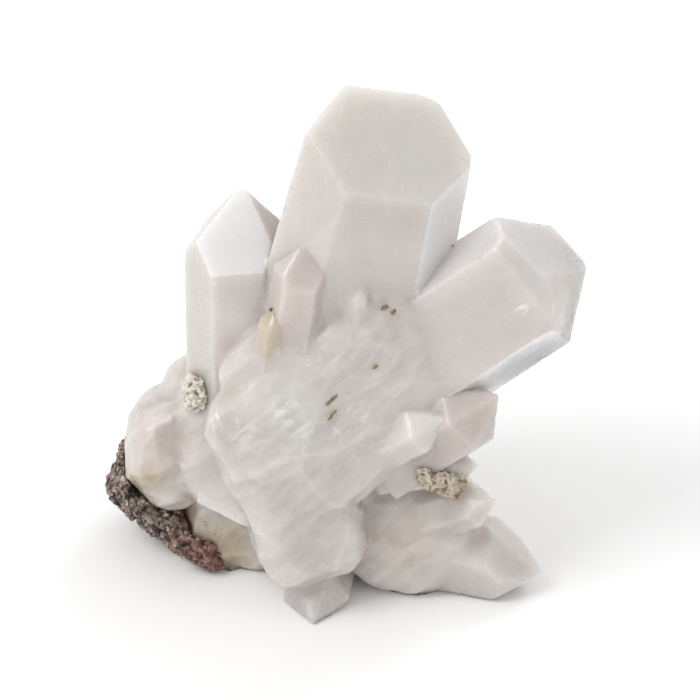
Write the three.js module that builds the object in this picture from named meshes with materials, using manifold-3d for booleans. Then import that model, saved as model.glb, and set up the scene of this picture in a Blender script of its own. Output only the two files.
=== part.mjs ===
// Quartz crystal cluster: milky quartz points grown together from one broken root, on a scrap of dark
// host rock. It stands on the flats of its broken underside. Millimetres, +Z up, -Y is the front.
import * as THREE from 'three';
import { mergeVertices } from 'three/addons/utils/BufferGeometryUtils.js';
import Module from 'manifold-3d';

const wasm = await Module();
wasm.setup();

// Driving dimensions.
const SEAM = 0.3; // clearance between the quartz and whatever sits on it
const CAP_SLOPE = 38.2; // degrees between a quartz termination face's normal and the basal plane
const CAP_RISE = 1.27; // height of a regular termination over the prism's apothem
const BLOCK = 400; // side of a cutting block, larger than the whole cluster
const SHARP = [0, 0, 0, 0, 0, 0]; // six termination faces that all meet at the tip
const FRONT = [0, -1, 0]; // the way a crystal's first face looks

const radians = THREE.MathUtils.degToRad;

// A closed manifold-3d solid of a three.js geometry.
function solidOf(geometry) {
  const bare = geometry.clone();
  bare.deleteAttribute('normal');
  bare.deleteAttribute('uv');
  const merged = mergeVertices(bare, 1e-3);
  return new wasm.Manifold(new wasm.Mesh({
    numProp: 3,
    vertProperties: merged.attributes.position.array,
    triVerts: new Uint32Array(merged.index.array),
  }));
}

// What is left of a solid on the inner side of a plane, given by its outward normal and its distance
// from the origin.
function cutBeyond(solid, normal, distance) {
  const turn = new THREE.Quaternion().setFromUnitVectors(new THREE.Vector3(0, 0, 1), normal);
  const block = new THREE.BoxGeometry(BLOCK, BLOCK, BLOCK);
  block.translate(0, 0, BLOCK / 2 + distance);
  block.applyQuaternion(turn);
  return solid.subtract(solidOf(block));
}

// The outward normal of a face that looks `around` degrees from the front and leans back by `slope`.
function faceNormal(around, slope) {
  const a = radians(around);
  const s = radians(slope);
  return new THREE.Vector3(Math.sin(a) * Math.cos(s), -Math.cos(a) * Math.cos(s), Math.sin(s));
}

// The matrix that stands a local +Z along `along`, turns local -Y to the front and moves it to `place`.
function standing(place, along, front) {
  const up = new THREE.Vector3(...along).normalize();
  const right = up.clone().cross(new THREE.Vector3(...front)).normalize();
  const back = up.clone().cross(right);
  return new THREE.Matrix4().makeBasis(right, back, up).setPosition(...place);
}

// One quartz crystal, cut from a bar by its faces. Each face is [turn, slope, distance]: degrees around
// the axis from the front, degrees it leans back towards the tip, and millimetres from the tip along
// its own outward normal.
function crystal(shape, grow) {
  const { tip, along, length, girth, roll = 0, beyond, front = FRONT } = shape;
  const { faces = regular(girth, beyond) } = shape;
  const bar = new THREE.BoxGeometry(girth * 5, girth * 5, length + girth * 2);
  bar.translate(0, 0, girth - length / 2);
  let made = solidOf(bar);
  for (const [turn, slope, distance] of faces) {
    made = cutBeyond(made, faceNormal(roll + turn, slope), distance + grow);
  }
  return made.transform(standing(tip, along, front).elements);
}

// The faces of a regular crystal: six prism faces `girth` from the axis and six termination faces, each
// of which may stand `beyond` the ideal tip by its own amount.
function regular(girth, beyond = SHARP, taper = 2) {
  const faces = [];
  const aside = girth * (Math.cos(radians(taper)) - CAP_RISE * Math.sin(radians(taper)));
  for (let k = 0; k < 6; k += 1) {
    faces.push([60 * k, taper, aside]);
    faces.push([60 * k, CAP_SLOPE, beyond[k]]);
  }
  return faces;
}

// A rounded, uneven mass: a ball with long swells, squashed to its three radii and turned. A ball is 2
// square, and a higher number is boxier: flat sides with rounded edges.
function lump(shape, grow = 0) {
  const { centre, radii, turn = [0, 0, 0], square = 2, swell = 0.07, seed = 1, detail = 4 } = shape;
  const ball = new THREE.IcosahedronGeometry(1, detail);
  const at = ball.attributes.position;
  const p = new THREE.Vector3();
  for (let i = 0; i < at.count; i += 1) {
    p.fromBufferAttribute(at, i);
    const wave = Math.sin(3.1 * p.x + seed) * Math.sin(2.7 * p.y + 1.7 * seed)
      + Math.sin(3.7 * p.z + 2.3 * seed) * Math.sin(2.9 * p.x - seed)
      + 0.6 * Math.sin(5.3 * p.y + 3.1 * seed + 2 * p.z);
    const box = Math.abs(p.x) ** square + Math.abs(p.y) ** square + Math.abs(p.z) ** square;
    const reach = (1 + swell * wave) / box ** (1 / square);
    const size = radii.map((radius) => radius * reach + grow);
    at.setXYZ(i, p.x * size[0], p.y * size[1], p.z * size[2]);
  }
  ball.applyMatrix4(new THREE.Matrix4().makeRotationFromEuler(new THREE.Euler(...turn.map(radians))));
  ball.translate(...centre);
  return solidOf(ball);
}

// The three great points.
const centrePoint = {
  tip: [10.3, 15, 124.4], along: [0.2, -0.02, 0.98], length: 108, girth: 18, roll: 8,
  faces: [
    [0, 2, 15.5], [34, 2.7, 17.9], [95, 2.5, 16.3], [150, 2, 16.5], [205, 2, 16.5],
    [-112, 3, 13.4], [-37, 4.3, 16.8],
    [0, CAP_SLOPE, -1.8], [100, CAP_SLOPE, 3.4], [160, CAP_SLOPE, -2.8],
    [180, CAP_SLOPE, -4.4], [-115, 24, 6.2],
  ],
};
const leftPoint = {
  tip: [-22.9, 11, 97.8], along: [-0.012, -0.02, 1], length: 54, girth: 10, roll: 7,
  faces: [
    [0, 1, 9.2], [60, 1, 7.2], [120, 1, 8.4], [180, 1, 9.2], [-120, 1, 11], [-60, 1, 11.8],
    [0, CAP_SLOPE, -2.7], [60, CAP_SLOPE, -1.3], [120, CAP_SLOPE, 0], [180, CAP_SLOPE, 0.6],
    [-112, CAP_SLOPE, 0.5], [-60, CAP_SLOPE, 4],
  ],
};
const rightPoint = {
  tip: [48.6, 8, 80.8], along: [0.76, -0.119, 0.639], length: 96, girth: 18, roll: -12,
  faces: [
    [0, 1, 14.6], [60, 1, 12.4], [120, 1, 12.6], [180, 1, 17], [-120, 1, 13.5], [-60, 1, 20.5],
    [0, CAP_SLOPE, 7.4], [-97, 43, 9.6], [-110, 63, 2.4], [-127, 82, -3.5], [73, 72, -3],
    [80, 53, -1.2], [26, 14, 12.5], [180, CAP_SLOPE, 10],
  ],
};

// Small crystals in front of and between the great ones.
const SMALL_CRYSTALS = [
  {
    tip: [-9.4, 0, 88.6], along: [0.14, -0.06, 0.98], length: 44, girth: 5.6, roll: -4,
    beyond: [0, 1.6, 2.2, 0, 1, 1],
  },
  {
    tip: [-16.4, -2.5, 75], along: [0.1, -0.02, 1], length: 20, girth: 2.8, roll: 10,
    beyond: [0.6, 0, 1, 0, 0.5, 0],
  },
  {
    tip: [2.2, -0.8, 80.6], along: [0.1, -0.05, 1], length: 20, girth: 2.8, roll: 20,
    beyond: [0.7, 0, 0.9, 0, 0.8, 0],
  },
  { tip: [32.4, -4.5, 54.9], along: [0.8, -0.3, 0.75], length: 34, girth: 7.6 },
  { tip: [20.5, -7.5, 50.8], along: [0.75, -0.35, 0.6], length: 18, girth: 5, roll: 10 },
  { tip: [28.6, -3, 36.2], along: [0.95, -0.2, 0.25], length: 24, girth: 3.8 },
  {
    tip: [32.5, -5, 28.6], along: [0.8, -0.35, 0.48], length: 24, girth: 4.6, roll: 25,
    beyond: [0, 0, 1, 0, 0, 1],
  },
  {
    tip: [46, -1, 6.4], along: [0.92, -0.3, -0.05], length: 44, girth: 8.2, roll: 12,
    beyond: [0, -1, 0, 0, -3, -2],
  },
  {
    tip: [-8.4, -13.5, 0.8], along: [-0.1, -0.97, -0.12], length: 30, girth: 6.6, roll: 8,
    front: [0, 0, 1],
  },
];

// Crystals that fan out behind.
const BACK_CRYSTALS = [
  {
    tip: [-4, 50, 70], along: [-0.08, 0.7, 0.7], length: 62, girth: 8.5, roll: 15,
    beyond: [0, 1, -1, 0, 0, 1],
  },
  { tip: [20, 43, 60], along: [0.35, 0.58, 0.73], length: 52, girth: 6.8, beyond: [0, 2, 0, 1, 0, 0] },
  { tip: [-27, 45, 55], along: [-0.28, 0.62, 0.73], length: 48, girth: 6.5, roll: 35 },
  {
    tip: [8, 54, 34], along: [0.2, 0.93, 0.3], length: 44, girth: 7, roll: 10,
    beyond: [0, 0, 1, 0, 1, 0],
  },
  { tip: [-16, 53, 24], along: [-0.15, 0.97, 0.15], length: 40, girth: 6, roll: 40 },
];

// The right crystal's broken root, a thick slab that lies along it, and the block under its left end.
const SLAB = [
  {
    centre: [-1.5, 6, 49.3], radii: [30, 13.5, 20], turn: [0, -37, 10.8], square: 5,
    swell: 0.02, seed: 9,
  },
  {
    centre: [-12.6, 3, 28], radii: [13, 13, 22.4], turn: [-4, -17, 8], square: 4.5,
    swell: 0.02, seed: 2,
  },
];

// Milky broken masses the other crystals grow out of.
const MASSES = [
  {
    centre: [13, 8.5, 13.5], radii: [16, 12.5, 15], turn: [0, 20, 0], square: 2.8, swell: 0.04,
    seed: 4,
  },
  {
    centre: [-15, 3, 58], radii: [14, 9.5, 12], turn: [0, -37, 0], square: 2.4, swell: 0.05,
    seed: 17, detail: 3,
  },
  {
    centre: [-41.2, 16, 29.5], radii: [9.6, 12, 14], turn: [0, 8, 0], square: 2.5, swell: 0.05,
    seed: 3,
  },
  { centre: [-36, 19, 42.5], radii: [6.4, 8, 6.6], seed: 5, detail: 3 },
  { centre: [-28, 13, 35], radii: [12, 12.5, 18], square: 2.4, swell: 0.04, seed: 10, detail: 3 },
  {
    centre: [-19.5, 4, 38], radii: [10.5, 11.5, 14], turn: [0, -16, 8], square: 4,
    swell: 0.03, seed: 18, detail: 3,
  },
  { centre: [-26, 16, 9], radii: [12, 9, 14], square: 2.5, seed: 6, detail: 3 },
  { centre: [-4, 24, 20], radii: [26, 19, 22], seed: 7 },
  { centre: [16, 20, 12], radii: [12, 13, 13], seed: 8, detail: 3 },
  { centre: [2, 12.5, 40], radii: [20, 12, 25], seed: 15, detail: 3 },
];

const quartz = (grow) => {
  const crystals = [centrePoint, leftPoint, rightPoint, ...SMALL_CRYSTALS, ...BACK_CRYSTALS];
  const parts = [
    ...crystals.map((c) => crystal(c, grow)),
    ...[...SLAB, ...MASSES].map((m) => lump(m, grow)),
  ];
  const joined = parts.reduce((all, next) => all.add(next));
  return cutBeyond(joined, new THREE.Vector3(0, 0, -1), 0);
};

// The scrap of host rock under the left lobe.
const ROCK = [
  { centre: [-49, 22, 17], radii: [6, 12, 9], seed: 11, detail: 3, swell: 0.1 },
  { centre: [-41, 28, 10], radii: [12, 15, 9.5], seed: 12, detail: 3, swell: 0.1 },
  { centre: [-33, 19, 5], radii: [10.5, 13, 7.5], seed: 13, detail: 3, swell: 0.1 },
  { centre: [-28, 37, 8], radii: [13, 10, 9], seed: 14, detail: 3, swell: 0.1 },
];

// Clay crusts caught in two pockets of the quartz.
const CRUST_LEFT = {
  centre: [-32.6, 5.4, 49.6], radii: [4.4, 3.4, 4.8], square: 3.5,
  seed: 21, detail: 3,
};
const CRUST_RIGHT = {
  centre: [19.8, -4.7, 33.6], radii: [6.4, 3.2, 3.4], turn: [0, 24, 0],
  square: 3, seed: 22, detail: 3,
};

// A solid laid against the quartz with the seam between them, and cut flat where the cluster stands.
const against = (solid) => cutBeyond(solid, new THREE.Vector3(0, 0, -1), 0).subtract(quartz(SEAM));

function meshOf(name, solid, material) {
  const { numProp, numVert, vertProperties, triVerts } = solid.getMesh();
  const points = new Float32Array(numVert * 3);
  for (let i = 0; i < numVert; i += 1) {
    points.set(vertProperties.subarray(i * numProp, i * numProp + 3), i * 3);
  }
  const geometry = new THREE.BufferGeometry();
  geometry.setAttribute('position', new THREE.BufferAttribute(points, 3));
  geometry.setIndex(new THREE.BufferAttribute(triVerts, 1));
  const mesh = new THREE.Mesh(geometry, material);
  mesh.name = name;
  return mesh;
}

const milky = new THREE.MeshStandardMaterial({ color: 0xd2cbc4, roughness: 0.3, metalness: 0 });
const host = new THREE.MeshStandardMaterial({ color: 0x5c514c, roughness: 0.9, metalness: 0 });
const clay = new THREE.MeshStandardMaterial({ color: 0xb09c80, roughness: 0.95, metalness: 0 });

const cluster = new THREE.Group();
cluster.add(
  meshOf('quartz_cluster', quartz(0), milky),
  meshOf('matrix_rock', against(ROCK.map((m) => lump(m)).reduce((all, next) => all.add(next))), host),
  meshOf('clay_crust_left', against(lump(CRUST_LEFT)), clay),
  meshOf('clay_crust_right', against(lump(CRUST_RIGHT)), clay),
);

// The origin is the middle of the footprint, on the ground.
const extent = new THREE.Box3().setFromObject(cluster);
const middle = extent.getCenter(new THREE.Vector3());
cluster.position.set(-middle.x, -middle.y, -extent.min.z);
export default cluster;
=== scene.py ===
"""Quartz crystal cluster: milky points grown from one broken root, a scrap of host rock and two clay crusts.
Metres, +Z up, -Y is the front. Every piece is shaped from its own solid in the frame."""
import math

import bmesh
import bpy
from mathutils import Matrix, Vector, kdtree, noise
from mathutils.bvhtree import BVHTree


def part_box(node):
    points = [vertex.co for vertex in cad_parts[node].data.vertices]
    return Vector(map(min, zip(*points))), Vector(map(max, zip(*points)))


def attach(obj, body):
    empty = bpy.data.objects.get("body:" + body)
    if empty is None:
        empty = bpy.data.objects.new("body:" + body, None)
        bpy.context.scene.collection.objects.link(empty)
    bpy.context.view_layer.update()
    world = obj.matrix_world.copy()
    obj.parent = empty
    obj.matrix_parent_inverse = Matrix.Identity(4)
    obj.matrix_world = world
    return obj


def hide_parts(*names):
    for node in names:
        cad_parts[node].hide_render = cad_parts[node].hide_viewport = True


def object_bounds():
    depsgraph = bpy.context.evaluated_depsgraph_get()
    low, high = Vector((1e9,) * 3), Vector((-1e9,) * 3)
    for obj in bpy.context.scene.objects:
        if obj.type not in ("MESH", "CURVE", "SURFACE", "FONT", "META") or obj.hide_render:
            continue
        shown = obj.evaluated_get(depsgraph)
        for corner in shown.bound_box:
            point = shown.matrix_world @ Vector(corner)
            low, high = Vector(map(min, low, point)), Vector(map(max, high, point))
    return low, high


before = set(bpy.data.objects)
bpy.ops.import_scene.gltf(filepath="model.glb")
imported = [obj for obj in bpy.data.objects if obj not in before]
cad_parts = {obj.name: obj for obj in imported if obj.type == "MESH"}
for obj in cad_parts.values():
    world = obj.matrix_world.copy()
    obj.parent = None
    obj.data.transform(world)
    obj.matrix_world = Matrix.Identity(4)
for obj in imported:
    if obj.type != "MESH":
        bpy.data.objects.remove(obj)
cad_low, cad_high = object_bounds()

noise.seed_set(11)  # else noise_vector is seeded from the clock, and no two runs are alike

MM = 0.001
SIZE = cad_high - cad_low
WELD = 0.02 * MM  # corners closer than this are one corner
UP = Vector((0, 0, 1))
UNDER = cad_low.z + 0.02 * MM  # anything below this belongs to the flat underside
DRAWN = Vector((0.76, -0.12, 0.64))  # the way that the broken root is drawn out
TINY = 1e-6  # keeps a divisor from being nothing

# How long the sides of the triangles may be.
UNDER_SIDE = 2.4 * MM
RIDGE_SIDE = 0.9 * MM
FACE_SIDE = 1.6 * MM
MASS_SIDE = 1.15 * MM
ROCK_SIDE = 0.55 * MM
CRUST_SIDE = 0.28 * MM

# ---------------------------------------------------------------- stage


def make_camera():
    """A long lens, thirty degrees above the horizon, on the front of the cluster."""
    elevation = math.radians(30)
    distance = 750 * MM
    middle = (cad_low + cad_high) / 2
    target = Vector((middle.x + 1.4 * MM, middle.y - 10.25 * MM, cad_low.z + 0.475 * SIZE.z))
    back = Vector((0, -math.cos(elevation), math.sin(elevation)))
    data = bpy.data.cameras.new("camera")
    data.lens = 175
    camera = bpy.data.objects.new("camera", data)
    bpy.context.scene.collection.objects.link(camera)
    camera.location = target + back * distance
    camera.rotation_euler = (-back).to_track_quat("-Z", "Y").to_euler()
    bpy.context.scene.camera = camera


def make_floor():
    """A wide pale table top under the cluster."""
    bm = bmesh.new()
    bmesh.ops.create_grid(bm, x_segments=1, y_segments=1, size=4)
    floor = link_mesh("floor", bm)
    floor.location = (0, 0, cad_low.z)
    material, shader, _ = new_material("pale_floor")
    shader.inputs["Base Color"].default_value = (0.93, 0.93, 0.93, 1)
    shader.inputs["Roughness"].default_value = 0.9
    shader.inputs["Specular IOR Level"].default_value = 0.1
    floor.data.materials.append(material)


def make_lights():
    """White surroundings, a large soft lamp at the upper left and a smaller one behind."""
    world = bpy.data.worlds.new("studio")
    world.use_nodes = True
    world.node_tree.nodes["Background"].inputs["Color"].default_value = (1, 1, 1, 1)
    world.node_tree.nodes["Background"].inputs["Strength"].default_value = 0.82
    bpy.context.scene.world = world
    aim = Vector((0, 0, 0.05))
    for name, place, size, watts in (
        ("key", Vector((-0.55, -0.35, 0.75)), 0.5, 4.0),
        ("rear", Vector((0.5, 0.6, 0.6)), 0.5, 2.0),
    ):
        lamp = bpy.data.lights.new(name, "AREA")
        lamp.size = size
        lamp.energy = watts
        light = bpy.data.objects.new(name, lamp)
        bpy.context.scene.collection.objects.link(light)
        light.location = place
        light.rotation_euler = (aim - place).to_track_quat("-Z", "Y").to_euler()
    bpy.context.scene.view_settings.view_transform = "Standard"


# ---------------------------------------------------------------- mesh tools


def link_mesh(name, bm):
    """Turns a bmesh into an object of that name."""
    mesh = bpy.data.meshes.new(name)
    bm.to_mesh(mesh)
    bm.free()
    piece = bpy.data.objects.new(name, mesh)
    bpy.context.scene.collection.objects.link(piece)
    return piece


def merged_skin(node):
    """The closed skin of a solid in the frame, its loose triangles merged."""
    bm = bmesh.new()
    bm.from_mesh(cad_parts[node].data)
    bmesh.ops.remove_doubles(bm, verts=bm.verts[:], dist=WELD)
    bmesh.ops.dissolve_degenerate(bm, edges=bm.edges[:], dist=WELD)
    return bm


def spread(seeds, neighbours):
    """Every item that can be reached from the seeds."""
    found, front = set(seeds), list(seeds)
    while front:
        item = front.pop()
        for other in neighbours(item):
            if other not in found:
                found.add(other)
                front.append(other)
    return found


def turn_across(edge):
    """Degrees that the skin turns at an edge: above zero on a ridge, below in a crease."""
    return math.degrees(edge.calc_face_angle_signed(0.0))


def groups(faces, joined):
    """Sorts faces into groups whose members are joined across their edges."""
    left, found = set(faces), []
    for face in faces:
        if face in left:
            group = spread(
                [face],
                lambda f: [g for e in f.edges if len(e.link_faces) == 2 and joined(e)
                           for g in e.link_faces if g is not f and g in left],
            )
            left -= group
            found.append(group)
    return found


FLAT = 0.7  # degrees: faces that turn less than this belong to one flat facet
GENTLE = 12.0  # degrees: a rounded mass turns less than this from one facet to the next
LIKE = 0.4  # two facets whose normals cross with less than this face nearly the same way
PRISM = 0.09  # a facet's normal leans on the axis by less than this when it runs along it
LEAST_CRYSTAL = 60 * MM * MM  # a group of facets with less area than this is no crystal
UNDERSIDE_DOWN = -0.99  # a facet whose normal points down by this much is part of the underside


def crystal_axis(facets):
    """The direction that a crystal's prism faces share, from the facets' normals and areas."""
    best, score = UP, -1.0
    for i, (normal, _) in enumerate(facets):
        for other, _ in facets[:i]:
            axis = normal.cross(other)
            if axis.length < LIKE:
                continue
            axis.normalize()
            held = sum(area for n, area in facets if abs(n.dot(axis)) < PRISM)
            if held > score:
                best, score = axis, held
    return best if best.z >= -0.2 else -best


def read_crystals(bm):
    """Finds the flat crystal facets on the skin. Numbers every facet, and says which crystal it is part of (0 for
    the rounded masses). Gives the crystals' axes."""
    bm.faces.layers.int.new("facet")
    crystal = bm.faces.layers.int.new("crystal")
    facet = bm.faces.layers.int["facet"]  # looked up last, because a new layer moves the ones before it
    bm.normal_update()
    bm.faces.index_update()
    sheets = [
        sorted(sheet, key=lambda f: f.index)
        for sheet in groups(bm.faces[:], lambda e: abs(turn_across(e)) < FLAT)
    ]
    area, normal, flat = {}, {}, {}
    for number, sheet in enumerate(sheets, start=1):
        for f in sheet:
            f[facet] = number
        area[number] = sum(f.calc_area() for f in sheet)
        normal[number] = sum((f.normal * f.calc_area() for f in sheet), Vector()).normalized()
        rim = [e for f in sheet for e in f.edges if abs(turn_across(e)) >= FLAT]
        flat[number] = all(abs(turn_across(e)) > GENTLE for e in rim)
    underside = {n for n in area if normal[n].z < UNDERSIDE_DOWN}
    sharp = [f for f in bm.faces if flat[f[facet]] and f[facet] not in underside]
    axes = {0: DRAWN.normalized()}
    for body in groups(sharp, lambda e: turn_across(e) > -1):
        numbers = sorted({f[facet] for f in body})
        if len(numbers) < 3 or sum(area[n] for n in numbers) < LEAST_CRYSTAL:
            continue
        key = len(axes)
        axes[key] = crystal_axis([(normal[n], area[n]) for n in numbers])
        for f in body:
            f[crystal] = key
    return axes


MOST_ROUNDS = 60  # of halving
EVEN_EVERY = 4  # rounds of halving, then the triangles are evened out


def refine(bm, longest):
    """Halves the edges that are longer than longest(edge, ridge), where ridge holds the vertices on ridges, again and
    again. No face is cut twice in a round, and each cut makes two triangles of one, so the skin stays closed."""
    facet = bm.faces.layers.int["facet"]
    bmesh.ops.triangulate(bm, faces=bm.faces[:])
    for done in range(1, MOST_ROUNDS + 1):
        bm.normal_update()
        ridge = {v for e in bm.edges if e.is_manifold and turn_across(e) > GENTLE for v in e.verts}
        bm.edges.index_update()
        too_long = [(-e.calc_length(), e.index, e) for e in bm.edges if e.calc_length() > longest(e, ridge)]
        if not too_long:
            break
        cut, chosen = set(), []
        for _, _, e in sorted(too_long, key=lambda entry: entry[:2]):
            if not any(f in cut for f in e.link_faces):
                chosen.append(e)
                cut.update(e.link_faces)
        for e in chosen:
            _, middle = bmesh.utils.edge_split(e, e.verts[0], 0.5)
            for f in list(middle.link_faces):
                corners = list(f.verts)
                across = corners[(corners.index(middle) + 2) % 4]
                bmesh.utils.face_split(f, middle, across)
        if done % EVEN_EVERY == 0:
            inner = [e for e in bm.edges if e.is_manifold and e.link_faces[0][facet] == e.link_faces[1][facet]]
            bmesh.ops.beautify_fill(bm, faces=bm.faces[:], edges=inner, method="ANGLE")
    bm.normal_update()


def distances(bm, verts, reach):
    """For each vertex, how far it is from the nearest of verts, up to reach."""
    tree = kdtree.KDTree(max(len(verts), 1))
    for i, v in enumerate(verts):
        tree.insert(v.co, i)
    tree.balance()
    found = {}
    for v in bm.verts:
        _, _, distance = tree.find(v.co)
        found[v] = min(reach, distance) if distance is not None else reach
    return found


def smooth(bm, verts, rounds, factor=0.5):
    """Draws each of the verts towards the middle of its neighbours, that many times."""
    for _ in range(rounds):
        bmesh.ops.smooth_vert(bm, verts=verts, factor=factor, use_axis_x=True, use_axis_y=True, use_axis_z=True)


def relax_underside(bm):
    """Spreads the vertices of the flat underside within its plane, so that no slivers are left there."""
    under = [v for v in bm.verts if v.co.z <= UNDER]
    for _ in range(6):
        bmesh.ops.smooth_vert(bm, verts=under, factor=0.5, use_axis_x=True, use_axis_y=True)


def cloud(p, size, octaves=4, seed=0):
    """Fractal noise between about -1 and 1, with lumps of that size."""
    return noise.fractal(p / size + Vector((seed * 7.3, seed * 3.1, seed * 5.7)), 1.0, 2.0, octaves)


def fracture(p, along, size, seed=0):
    """A broken surface: tilted, faintly dished flats, longer along the crystal. Gives the height, how far the place
    is from the ridge between two flats (0 on it), and a number that is each flat's own."""
    q = along @ p
    q = Vector((q.x, q.y, q.z * 0.45)) / size + Vector((seed * 5.1, seed * 2.3, seed * 9.7))
    heights = []
    for distance, centre in zip(*noise.voronoi(q)):
        tilt = noise.noise_vector(centre * 1.7)
        heights.append((0.9 * distance * distance + 0.8 * tilt.dot(q - centre), tilt.x))
    heights.sort()
    return heights[0][0] - 0.2, heights[1][0] - heights[0][0], heights[0][1]


# ---------------------------------------------------------------- quartz

FAR = 12 * MM  # distances to edges and seams are not told apart beyond this
BLEND = 2.5 * MM  # a crease or a seam is rounded this far to both sides
CRISP = 1.2 * MM  # so near to a ridge, a crystal keeps its form
CHIPPED = 0.4 * MM  # so near to a ridge, a crystal is chipped
FLATS = 8.5 * MM  # the size of the root's great broken flats
CHIPS = 3.4 * MM  # and of the small ones on them


def make_quartz():
    """The whole cluster in one skin: crisp worn edges on the crystals, a rounded broken surface on the root."""
    bm = merged_skin("quartz_cluster")
    bm.loops.layers.float_vector.new("growth")
    bm.faces.layers.float_color.new("facet_tint")
    bm.verts.layers.float_color.new("tint")
    for name in ("edge", "pocket", "point", "flash", "clear", "stain", "tone"):
        bm.verts.layers.float.new(name)
    axes = read_crystals(bm)
    crystal = bm.faces.layers.int["crystal"]
    edge = bm.verts.layers.float["edge"]
    tone = bm.verts.layers.float["tone"]

    def longest(side, ridge):
        a, b = side.verts
        if a.co.z < UNDER and b.co.z < UNDER:
            return UNDER_SIDE
        if a in ridge and b in ridge:
            return RIDGE_SIDE
        if all(f[crystal] for f in side.link_faces):
            return FACE_SIDE
        return MASS_SIDE

    refine(bm, longest)
    relax_underside(bm)

    held = {v for v in bm.verts if v.co.z < UNDER}
    on_mass = {v for v in bm.verts if v not in held and all(f[crystal] == 0 for f in v.link_faces)}
    on_crystal = {v for v in bm.verts if v not in held and all(f[crystal] > 0 for f in v.link_faces)}
    seam = [v for v in bm.verts if v not in held and v not in on_mass and v not in on_crystal]
    creases = [v for v in on_mass if any(turn_across(e) < -GENTLE for e in v.link_edges)]
    ridges = [v for v in on_crystal if any(turn_across(e) > GENTLE for e in v.link_edges)]
    to_seam = distances(bm, seam, FAR)
    to_crease = distances(bm, creases, FAR)
    to_ridge = distances(bm, ridges, FAR)

    smooth(bm, list(on_mass) + seam, 3)
    smooth(bm, [v for v in on_mass if to_crease[v] < BLEND], 12)
    smooth(bm, [v for v in bm.verts if v not in held and to_seam[v] < BLEND and to_ridge[v] > CRISP], 8)
    smooth(bm, ridges, 1, 0.45)
    bm.normal_update()

    along = axes[0].to_track_quat("Z", "Y").inverted()
    outward = {v: v.normal.copy() for v in bm.verts}
    moved = {}
    for v in bm.verts:
        if v in held:
            continue
        p = v.co
        if v in on_crystal:
            share = min(1.0, to_seam[v] / (5 * MM))
            push = 0.05 * cloud(p, 9 * MM, 3, 1)
            if to_ridge[v] < CHIPPED:
                chip = cloud(p, 3.5 * MM, 3, 2)
                push -= 0.35 * max(0.0, chip - 0.25) + 0.06
            broken = 0.35 * cloud(p, 10 * MM, 4, 3)
            push = push * share + broken * (1 - share)
        else:
            share = 0.15 + 0.85 * min(1.0, to_seam[v] / (6 * MM))
            flat, brow, own = fracture(p, along, FLATS, 5)
            chip, crack, shade = fracture(p, along, CHIPS, 6)
            push = share * (0.35 * cloud(p, 15 * MM, 4, 4) + 2.8 * flat + 0.9 * chip)
            # edge marks where a painted highlight line lightens the ridges between the broken flats
            v[edge] = max(0.0, 1 - brow / 0.06, 0.5 - crack / 0.12) * min(1.0, to_seam[v] / (3 * MM))
            v[tone] = share * (own + 0.5 * shade)
        moved[v] = p + outward[v] * push * MM
    for v, p in moved.items():
        v.co = Vector((p.x, p.y, max(p.z, cad_low.z)))

    store_quartz_attributes(bm, axes, on_crystal, to_ridge, to_crease, to_seam)
    paint_facets(bm)
    paint_patches(bm)
    paint_stain(bm)
    piece = link_mesh("quartz", bm)
    piece.data.shade_smooth()
    piece.data.materials.append(quartz_finish())
    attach(piece, "root")
    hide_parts("quartz_cluster")


def store_quartz_attributes(bm, axes, on_crystal, to_ridge, to_crease, to_seam):
    """What the finish reads: coordinates along each crystal, how near an edge or a pocket is, and how much of the
    place is crystal."""
    crystal = bm.faces.layers.int["crystal"]
    along = bm.loops.layers.float_vector["growth"]
    edge = bm.verts.layers.float["edge"]
    pocket = bm.verts.layers.float["pocket"]
    point = bm.verts.layers.float["point"]
    frames = {}
    for key, axis in axes.items():
        frames[key] = axis.to_track_quat("Z", "Y").inverted().to_matrix()
    for f in bm.faces:
        turn = frames[f[crystal]]
        for loop in f.loops:
            loop[along] = turn @ loop.vert.co
    for v in bm.verts:
        # edge also marks where a painted highlight line lightens the crystal edges
        v[edge] = max(v[edge], 1 - to_ridge[v] / (0.7 * MM))
        v[pocket] = max(0.0, 1 - min(to_crease[v], to_seam[v]) / (4 * MM))
        v[point] = min(1.0, to_seam[v] / (6 * MM)) if v in on_crystal else 0.0


# Where the quartz is stained, clouded or clean, and where white, grey and ash tints paint light onto some facets and
# shade onto some rims. Each place is in hundredths of the cluster's own box, across, back and up, and is moved to the
# nearest place on the skin.
PINK = (0.49, 0.387, 0.36)
SMOKE = (0.37, 0.273, 0.238)
HONEY = (0.405, 0.29, 0.15)
CREAM = (0.42, 0.35, 0.23)
ASH = (0.42, 0.395, 0.375)
GREY = (0.58, 0.56, 0.51)
WHITE = (0.77, 0.765, 0.775)
LILAC = (0.65, 0.65, 0.66)
SAGE = (0.64, 0.635, 0.595)

# Some white, grey and ash tints below are partly painted light and shade on facets, not only the quartz's own colour.
FACETS = (  # (place, colour, weight, whether the whole crystal takes it)
    ((39.1, 11.9, 67.0), PINK, 0.3, True),
    ((42.8, 16.5, 68.6), SMOKE, 0.25, False),
    ((33.7, 9.0, 59.8), HONEY, 0.45, True),
    ((71.3, 6.6, 39.1), SMOKE, 0.26, True),
    ((66.5, 7.0, 39.5), WHITE, 0.15, True),
    ((75.9, 9.7, 23.1), WHITE, 0.35, False),
    ((41.8, 4.5, 3.3), ASH, 0.3, True),
    ((74.2, 14.4, 7.2), ASH, 0.2, True),
    ((75.1, 23.8, 72.3), LILAC, 0.45, False),
    ((89.8, 27.5, 67.8), LILAC, 0.4, False),
    ((88.5, 26.3, 48.6), WHITE, 1.0, False),
    ((25.1, 30.0, 72.5), WHITE, 0.75, False),
    ((17.1, 28.1, 66.0), GREY, 0.75, False),
    ((69.9, 26.4, 80.5), WHITE, 0.75, False),
    ((58.6, 30.6, 91.0), SAGE, 0.5, False),
)
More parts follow.
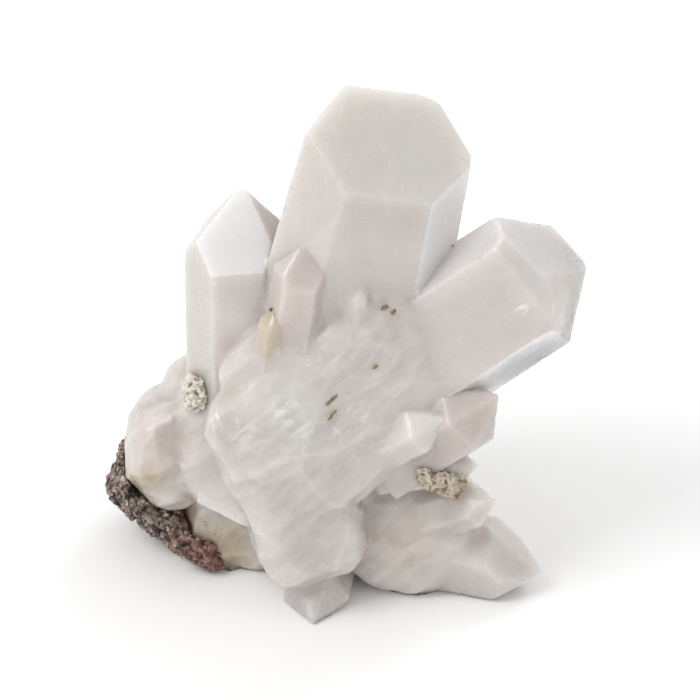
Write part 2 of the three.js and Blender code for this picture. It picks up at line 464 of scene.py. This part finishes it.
# Among the patches, the white ones are partly painted highlights and the ash and grey ones partly painted shade on
# rims.
PATCHES = (  # (place, reach, colour, weight)
    ((25.4, 22.3, 57.7), 8, WHITE, 0.25),
    ((60.8, 14.3, 49.5), 16, PINK, 0.16),
    ((61.9, 13.3, 44.1), 12, WHITE, 0.35),
    ((53.5, 15.3, 59.8), 12, PINK, 0.16),
    ((9.8, 27.9, 30.7), 11, PINK, 0.5),
    ((6.3, 26.6, 22.6), 7, CREAM, 0.95),
    ((15.2, 32.2, 18.1), 5, CREAM, 0.5),
    ((22.7, 30.7, 6.8), 9, CREAM, 0.8),
    ((25.3, 30.6, 3.5), 5, HONEY, 0.3),
    ((60.1, 13.7, 13.0), 11, HONEY, 0.3),
    ((59.0, 15.8, 17.7), 18, SMOKE, 0.12),
    ((41.8, 4.5, 3.3), 9, ASH, 0.2),
    ((36.4, 7.0, 42.8), 17, GREY, 0.5),
    ((23.3, 6.6, 40.1), 9, ASH, 0.6),
    ((78.3, 14.7, 62.1), 14, LILAC, 0.3),
    ((97.5, 40.7, 60.2), 13, ASH, 1.0),
    ((97.0, 51.3, 62.1), 8, ASH, 0.9),
    ((38.3, 4.1, 16.5), 13, GREY, 0.5),
    ((48.0, 7.0, 31.3), 14, PINK, 0.14),
    ((43.0, 4.5, 13.1), 9, ASH, 0.25),
    ((70.6, 11.0, 19.4), 8, ASH, 0.7),
    ((74.2, 14.4, 7.2), 10, WHITE, 0.15),
    ((87.2, 18.6, 6.8), 7, ASH, 0.3),
    ((38.8, 4.4, 21.8), 14, ASH, 0.06),
    ((88.4, 14.3, 66.3), 9, LILAC, 0.5),
)
VEILS_AND_GLINTS = (  # white veils just under the skin, and painted glints: (place, reach, strength)
    ((35.8, 6.6, 43.2), 5, 0.55),
    ((38.9, 6.4, 40.2), 4, 0.45),
    ((28.5, 5.1, 40.6), 6, 0.35),
    ((49.3, 9.0, 40.3), 5, 0.5),
    ((52.0, 12.7, 53.6), 3, 0.6),
    ((41.0, 11.5, 53.2), 2.5, 0.8),
    ((79.2, 20.8, 46.2), 3, 0.9),
    ((85.4, 29.6, 44.6), 8, 0.9),
    ((91.2, 22.3, 52.6), 9, 1.0),
    ((95.6, 30.0, 54.2), 6, 1.0),
    ((20.4, 10.0, 41.2), 3, 0.8),
    ((25.1, 11.5, 30.5), 3, 0.8),
    ((85.1, 14.4, 62.5), 3, 0.7),
)
CLEAN = (  # see-through places, streaked grey with painted reflections: (place, reach, strength)
    ((88.5, 26.3, 48.6), 12, 0.6),
    ((95.6, 30.0, 54.2), 6, 0.5),
    ((79.8, 21.9, 41.2), 5, 0.4),
)


def in_box(place):
    """A place given in hundredths of the cluster's box."""
    low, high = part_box("quartz_cluster")
    return low + (high - low) * Vector(place) / 100


def nearest(tree, place):
    """The place on the skin nearest to that one, and the face it is on."""
    found, _, index, _ = tree.find_nearest(in_box(place))
    return found, index


def paint_facets(bm):
    """Gives single facets, or all of a small crystal, a tint: a stain of their own, and on some facets painted light
    and shade.
    """
    facet = bm.faces.layers.int["facet"]
    crystal = bm.faces.layers.int["crystal"]
    tint = bm.faces.layers.float_color["facet_tint"]
    bm.faces.ensure_lookup_table()
    for f in bm.faces:
        f[tint] = (0, 0, 0, 0)
    tree = BVHTree.FromBMesh(bm)
    for place, colour, weight, whole in FACETS:
        hit = bm.faces[nearest(tree, place)[1]]
        for f in bm.faces:
            same = f[crystal] == hit[crystal] if whole else f[facet] == hit[facet]
            if same and f[crystal]:
                f[tint] = (*colour, weight)


def paint_patches(bm):
    """Soft stains and veils around places on the skin, some of them painted highlights and painted shade, and the
    spots of painted glints and of see-through quartz.
    """
    tint = bm.verts.layers.float_color["tint"]
    tree = BVHTree.FromBMesh(bm)
    patches = [(nearest(tree, place)[0], reach * MM, colour, weight) for place, reach, colour, weight in PATCHES]
    for v in bm.verts:
        mixed, cover = Vector((0, 0, 0)), 0.0
        for centre, reach, colour, weight in patches:
            near = (v.co - centre).length / reach
            if near < 1:
                share = weight * (1 - near * near) ** 2
                left = cover * (1 - share)
                cover = share + left
                mixed = (Vector(colour) * share + mixed * left) / max(cover, TINY)
        v[tint] = (*mixed, cover)
    for name, places in (("flash", VEILS_AND_GLINTS), ("clear", CLEAN)):
        layer = bm.verts.layers.float[name]
        spots = [(nearest(tree, place)[0], reach * MM, weight) for place, reach, weight in places]
        for v in bm.verts:
            v[layer] = max(
                weight * max(0.0, 1 - (v.co - centre).length / reach) ** 0.5 for centre, reach, weight in spots
            )


def paint_stain(bm):
    """Earth drawn into the quartz where it grows on the host rock."""
    stain = bm.verts.layers.float["stain"]
    rock = merged_skin("matrix_rock")
    tree = BVHTree.FromBMesh(rock)
    rock.free()
    for v in bm.verts:
        _, _, _, distance = tree.find_nearest(v.co)
        v[stain] = max(0.0, 1 - distance / (8 * MM))


# ---------------------------------------------------------------- other pieces


def make_rock():
    """The scrap of host rock: a porous crust of small rounded grains with sunken gaps between them, marked for
    painted shade.
    """
    bm = merged_skin("matrix_rock")
    bm.faces.layers.int.new("facet")
    gap = bm.verts.layers.float.new("gap")
    refine(bm, lambda side, ridge: ROCK_SIDE)
    relax_underside(bm)
    free = [v for v in bm.verts if v.co.z > UNDER]
    smooth(bm, free, 6)
    bm.normal_update()
    for v in free:
        p = v.co
        near, _ = noise.voronoi(p / (1.9 * MM) + 0.35 * noise.noise_vector(p / (3 * MM)))
        small, _ = noise.voronoi(p / (0.9 * MM))
        open_space = max(0.0, cloud(p, 3.6 * MM, 3, 14) - 0.12)
        dome = 1 - near[0] ** 2 / max(near[1] ** 2, TINY)
        v[gap] = min(1.0, 1.2 * open_space + max(0.0, 0.3 - dome))
        push = 0.9 * cloud(p, 7 * MM, 4, 11) + 0.75 * (dome - 0.6) + 0.22 * (0.5 - small[0]) - 1.5 * open_space
        v.co = p + v.normal * push * MM
    for v in free:
        v.co.z = max(v.co.z, cad_low.z)
    piece = link_mesh("host_rock", bm)
    piece.data.shade_smooth()
    piece.data.materials.append(rock_finish())
    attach(piece, "root")
    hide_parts("matrix_rock")


def make_crust(node, name, seed, finish):
    """A crumbly clay crust caught in a pocket, in place of that node and pitted all over."""
    bm = merged_skin(node)
    bm.faces.layers.int.new("facet")
    gap = bm.verts.layers.float.new("gap")
    refine(bm, lambda side, ridge: CRUST_SIDE)
    smooth(bm, bm.verts[:], 8)
    bm.normal_update()
    for v in bm.verts[:]:
        p = v.co
        near, _ = noise.voronoi(p / (1.0 * MM) + 0.6 * noise.noise_vector(p / (1.1 * MM)))
        pit = max(0.0, min(1.0, 2.4 * (near[1] - near[0] - 0.24)))
        crumb = cloud(p, 1.3 * MM, 4, seed + 2)
        v[gap] = max(pit * min(1.0, max(0.1, 0.7 + 2 * cloud(p, 3 * MM, 2, seed))), min(1.0, 1.6 * (-crumb - 0.15)))
        push = 1.2 * cloud(p, 3.4 * MM, 4, seed) + 0.5 * crumb - 0.45 * v[gap] - 0.1
        v.co = p + v.normal * push * MM
    piece = link_mesh(name, bm)
    piece.data.shade_smooth()
    piece.data.materials.append(finish)
    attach(piece, "root")
    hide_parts(node)


GRAINS = (  # earth caught in cracks of the quartz: (place, length and width in millimetres)
    ((56.6, 17.7, 61.7), 1.9, 0.8),
    ((58.3, 17.4, 60.8), 1.4, 0.8),
    ((54.5, 12.8, 51.1), 1.1, 0.7),
    ((33.0, 17.9, 61.2), 1.2, 0.7),
    ((70.5, 29.9, 70.4), 0.7, 0.4),
    ((45.9, 9.4, 45.8), 2.2, 0.7),
    ((44.7, 9.4, 44.8), 1.5, 0.6),
    ((45.9, 8.8, 42.9), 1.8, 0.4),
    ((45.1, 8.8, 41.9), 1.3, 0.35),
)


def make_grains():
    """Little brown flakes lying in the quartz."""
    skin = merged_skin("quartz_cluster")
    tree = BVHTree.FromBMesh(skin)
    skin.free()
    bm = bmesh.new()
    for number, (place, length, width) in enumerate(GRAINS):
        found, normal, _, _ = tree.find_nearest(in_box(place))
        made = bmesh.ops.create_icosphere(bm, subdivisions=3, radius=0.5)["verts"]
        lie = (DRAWN - normal * DRAWN.dot(normal)).normalized()
        side = normal.cross(lie)
        for v in made:
            p = v.co * (1 + 0.5 * noise.noise(v.co * 3 + Vector((number, 0, 0))))
            v.co = found + (lie * p.x * length + side * p.y * width + normal * (p.z * 0.7 + 0.1)) * MM
    piece = link_mesh("earth_grains", bm)
    piece.data.shade_smooth()
    piece.data.materials.append(earth_finish())
    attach(piece, "root")


# ---------------------------------------------------------------- finishes


def new_material(name):
    """A material, its Principled shader and its node tree."""
    material = bpy.data.materials.new(name)
    material.use_nodes = True
    tree = material.node_tree
    return material, tree.nodes["Principled BSDF"], tree


class Finish:
    """Short names for the nodes that the finishes are made of."""

    def __init__(self, name):
        self.material, self.shader, self.tree = new_material(name)

    def node(self, kind, **values):
        made = self.tree.nodes.new(kind)
        for key, value in values.items():
            setattr(made, key, value)
        return made

    def wire(self, socket, value):
        if isinstance(value, bpy.types.NodeSocket):
            self.tree.links.new(value, socket)
        else:
            socket.default_value = value

    def place(self):
        return self.node("ShaderNodeTexCoord").outputs["Object"]

    def read(self, name, output="Fac"):
        return self.node("ShaderNodeAttribute", attribute_name=name).outputs[output]

    def stretch(self, vector, scale, turn=(0, 0, 0)):
        made = self.node("ShaderNodeMapping")
        self.wire(made.inputs["Vector"], vector)
        made.inputs["Scale"].default_value = scale
        made.inputs["Rotation"].default_value = turn
        return made.outputs["Vector"]

    def noise(self, vector, size, detail=4.0, rough=0.55, twist=0.0):
        """Noise with lumps of that size in metres."""
        made = self.node("ShaderNodeTexNoise")
        self.wire(made.inputs["Vector"], vector)
        made.inputs["Scale"].default_value = 1 / size
        made.inputs["Detail"].default_value = detail
        made.inputs["Roughness"].default_value = rough
        made.inputs["Distortion"].default_value = twist
        return made.outputs["Fac"]

    def cells(self, vector, size, feature="F1", output="Distance"):
        made = self.node("ShaderNodeTexVoronoi", feature=feature)
        self.wire(made.inputs["Vector"], vector)
        made.inputs["Scale"].default_value = 1 / size
        return made.outputs[output]

    def sum(self, kind, a, b, clamp=False):
        made = self.node("ShaderNodeMath", operation=kind, use_clamp=clamp)
        self.wire(made.inputs[0], a)
        self.wire(made.inputs[1], b)
        return made.outputs[0]

    def band(self, value, low, high, start=0.0, end=1.0):
        """value from low to high becomes start to end, held at both ends."""
        made = self.node("ShaderNodeMapRange", clamp=True)
        self.wire(made.inputs["Value"], value)
        self.wire(made.inputs["From Min"], low)
        self.wire(made.inputs["From Max"], high)
        self.wire(made.inputs["To Min"], start)
        self.wire(made.inputs["To Max"], end)
        return made.outputs["Result"]

    def blend(self, share, a, b, kind="MIX"):
        made = self.node("ShaderNodeMix", data_type="RGBA", blend_type=kind)
        self.wire(made.inputs[0], share)
        self.wire(made.inputs[6], a)
        self.wire(made.inputs[7], b)
        return made.outputs[2]

    def bump(self, height, depth, under=None):
        """Bump of that depth in metres."""
        made = self.node("ShaderNodeBump")
        self.wire(made.inputs["Height"], height)
        made.inputs["Distance"].default_value = depth
        if under is not None:
            self.wire(made.inputs["Normal"], under)
        return made.outputs["Normal"]


def quartz_finish():
    """Milky quartz: clouded white with pink-grey and yellowish stains, a glassy skin and see-through clean parts.
    Painted highlights line the edges, painted glints and painted grey reflections streak the clean parts, and painted
    light and shade tint some facets.
    """
    k = Finish("milky_quartz")
    place = k.place()
    growth = k.read("growth", "Vector")
    point = k.read("point")
    milk = k.band(k.noise(place, 26 * MM, 5, 0.6, 0.4), 0.35, 0.68)
    colour = k.blend(milk, (0.575, 0.53, 0.496, 1), (0.645, 0.612, 0.58, 1))
    veil = k.band(k.noise(k.stretch(growth, (1, 1, 0.22)), 5 * MM, 6, 0.65, 0.5), 0.52, 0.75, 0.0, 0.5)
    colour = k.blend(veil, colour, (0.7, 0.675, 0.652, 1))
    fibre = k.band(k.noise(k.stretch(growth, (1, 1, 0.16)), 1.5 * MM, 5, 0.7, 0.7), 0.5, 0.72, 0.0, 0.4)
    colour = k.blend(k.sum("MULTIPLY", fibre, k.band(point, 0.0, 0.5, 1.0, 0.15)), colour, (0.73, 0.722, 0.717, 1))
    blush = k.band(k.noise(place, 34 * MM, 3, 0.5, 0.2), 0.5, 0.75, 0.0, 0.45)
    colour = k.blend(blush, colour, (0.575, 0.49, 0.462, 1))
    stain = k.sum("MULTIPLY", k.read("pocket"), k.band(k.noise(place, 9 * MM, 5), 0.42, 0.7, 0.0, 0.35))
    colour = k.blend(stain, colour, (0.475, 0.405, 0.326, 1))
    ragged = k.band(k.noise(place, 5 * MM, 5, 0.6), 0.3, 0.7, 0.55, 1.3)
    colour = k.blend(k.sum("MULTIPLY", k.read("tint", "Alpha"), ragged, True), colour, k.read("tint", "Color"))
    shades = k.blend(k.band(k.read("tone"), -0.8, 0.8), (0.94, 0.93, 0.92, 1), (1.05, 1.06, 1.07, 1))
    colour = k.blend(1.0, colour, shades, "MULTIPLY")
    rooted = k.band(point, 0.05, 0.4)
    colour = k.blend(k.sum("MULTIPLY", k.read("facet_tint", "Alpha"), rooted), colour, k.read("facet_tint", "Color"))
    earth = k.sum("MULTIPLY", k.read("stain"), k.band(k.noise(place, 4 * MM, 5, 0.65), 0.36, 0.6, 0.35, 1.5), True)
    colour = k.blend(earth, colour, (0.44, 0.362, 0.255, 1))
    seep = k.band(k.noise(k.stretch(place, (1, 1, 0.2)), 1.2 * MM, 4, 0.6, 0.8), 0.54, 0.66, 0.0, 0.8)
    colour = k.blend(k.sum("MULTIPLY", earth, seep), colour, (0.27, 0.195, 0.115, 1))
    # Painted reflections: grey streaks in the see-through places.
    painted_grey_reflection = k.band(k.noise(k.stretch(growth, (1, 1, 0.12)), 2.4 * MM, 4, 0.6, 0.5), 0.48, 0.6, 0.0, 0.45)
    colour = k.blend(k.sum("MULTIPLY", k.read("clear"), painted_grey_reflection), colour, (0.45, 0.445, 0.45, 1))
    # Painted glints: white streaks around the glint places, partly veils in the quartz.
    streak = k.band(k.noise(k.stretch(growth, (1, 1, 0.25)), 1.6 * MM, 4, 0.6, 0.6), 0.5, 0.62)
    colour = k.blend(k.sum("MULTIPLY", k.read("flash"), streak), colour, (0.88, 0.88, 0.89, 1))
    # Painted highlight: a lighter line along the crystal edges and the ridges of the broken flats.
    painted_edge_highlight = k.sum("MULTIPLY", k.read("edge"), k.band(point, 0.0, 0.3, 0.2, 0.08))
    colour = k.blend(painted_edge_highlight, colour, (0.75, 0.742, 0.735, 1))
    k.wire(k.shader.inputs["Base Color"], colour)
    rough = k.band(k.noise(place, 6 * MM, 5), 0.3, 0.7, 0.24, 0.42)
    k.wire(k.shader.inputs["Roughness"], k.sum("SUBTRACT", rough, k.sum("MULTIPLY", point, 0.08)))
    lines = k.noise(k.stretch(growth, (0.12, 0.12, 1)), 0.7 * MM, 3, 0.6)
    fine = k.sum("MULTIPLY", k.noise(place, 1.8 * MM, 4, 0.6), k.band(point, 0.2, 1.0, 1.0, 0.2))
    k.wire(k.shader.inputs["Normal"], k.bump(lines, 0.05 * MM, k.bump(fine, 0.06 * MM)))
    k.shader.inputs["IOR"].default_value = 1.54
    k.shader.inputs["Subsurface Weight"].default_value = 0.9
    k.shader.inputs["Subsurface Radius"].default_value = (1.0, 0.92, 0.86)
    k.shader.inputs["Subsurface Scale"].default_value = 11 * MM
    k.wire(k.shader.inputs["Transmission Weight"], k.band(k.read("clear"), 0.0, 1.0, 0.06, 0.85))
    return k.material


def rock_finish():
    """Porous host rock: grey and pinkish grains, painted black shade in the gaps, rusty towards its right end."""
    k = Finish("host_rock")
    place = k.place()
    pick = k.node("ShaderNodeSeparateColor")
    k.wire(pick.inputs[0], k.cells(place, 0.8 * MM, output="Color"))
    colour = k.blend(k.band(pick.outputs[0], 0.1, 0.9), (0.12, 0.088, 0.074, 1), (0.42, 0.33, 0.28, 1))
    pink = k.band(k.noise(place, 9 * MM, 3), 0.48, 0.62, 0.0, 0.5)
    colour = k.blend(pink, colour, (0.4, 0.25, 0.2, 1))
    colour = k.blend(k.band(pick.outputs[1], 0.82, 0.92, 0.0, 0.9), colour, (0.62, 0.54, 0.47, 1))
    colour = k.blend(k.band(pick.outputs[2], 0.58, 0.75, 0.0, 0.9), colour, (0.035, 0.028, 0.026, 1))
    across = k.node("ShaderNodeSeparateXYZ")
    k.wire(across.inputs[0], place)
    end = k.band(across.outputs[0], -0.042, -0.024)
    rust = k.sum("MULTIPLY", end, k.band(k.noise(place, 3 * MM, 4), 0.38, 0.56, 0.45, 1.0))
    colour = k.blend(rust, colour, (0.2, 0.06, 0.038, 1))
    # Painted shade: near black down in the gaps between the grains.
    colour = k.blend(k.band(k.read("gap"), 0.12, 0.5), colour, (0.012, 0.009, 0.008, 1))
    k.wire(k.shader.inputs["Base Color"], colour)
    k.shader.inputs["Roughness"].default_value = 0.85
    height = k.sum("ADD", k.noise(place, 0.9 * MM, 5, 0.65), k.noise(place, 0.35 * MM, 3))
    k.wire(k.shader.inputs["Normal"], k.bump(height, 0.35 * MM))
    return k.material


def clay_finish(name, dark, pale, share):
    """Dry crumbly clay from a dark to a pale cream, brown down in its pits and over that share of its crumbs."""
    k = Finish(name)
    place = k.place()
    cream = k.blend(k.band(k.noise(place, 2.2 * MM, 5, 0.65), 0.38, 0.62), (*dark, 1), (*pale, 1))
    pit = k.band(k.read("gap"), 0.15, 0.7, 0.0, 0.85)
    grit = k.band(k.noise(place, 0.6 * MM, 4, 0.7), 0.56, 0.64, 0.0, share)
    colour = k.blend(k.sum("MAXIMUM", pit, grit), cream, (0.27, 0.2, 0.125, 1))
    k.wire(k.shader.inputs["Base Color"], colour)
    k.shader.inputs["Roughness"].default_value = 0.95
    k.wire(k.shader.inputs["Normal"], k.bump(k.noise(place, 0.45 * MM, 5, 0.7), 0.3 * MM))
    return k.material


def earth_finish():
    """Brown earth, darker and lighter in clouds smaller than a flake."""
    k = Finish("brown_earth")
    place = k.place()
    colour = k.blend(k.band(k.noise(place, 0.7 * MM, 4), 0.35, 0.65), (0.1, 0.07, 0.035, 1), (0.32, 0.24, 0.13, 1))
    k.wire(k.shader.inputs["Base Color"], colour)
    k.shader.inputs["Roughness"].default_value = 0.9
    k.wire(k.shader.inputs["Normal"], k.bump(k.noise(place, 0.3 * MM, 3), 0.15 * MM))
    return k.material


# ---------------------------------------------------------------- build

make_camera()
make_floor()
make_lights()
make_quartz()
make_rock()
chalky = clay_finish("chalky_clay", (0.66, 0.58, 0.47), (0.83, 0.8, 0.74), 0.35)
gritty = clay_finish("gritty_clay", (0.46, 0.37, 0.26), (0.64, 0.58, 0.49), 0.7)
make_crust("clay_crust_left", "crust_left", 31, chalky)
make_crust("clay_crust_right", "crust_right", 32, gritty)
make_grains()

bpy.context.view_layer.update()
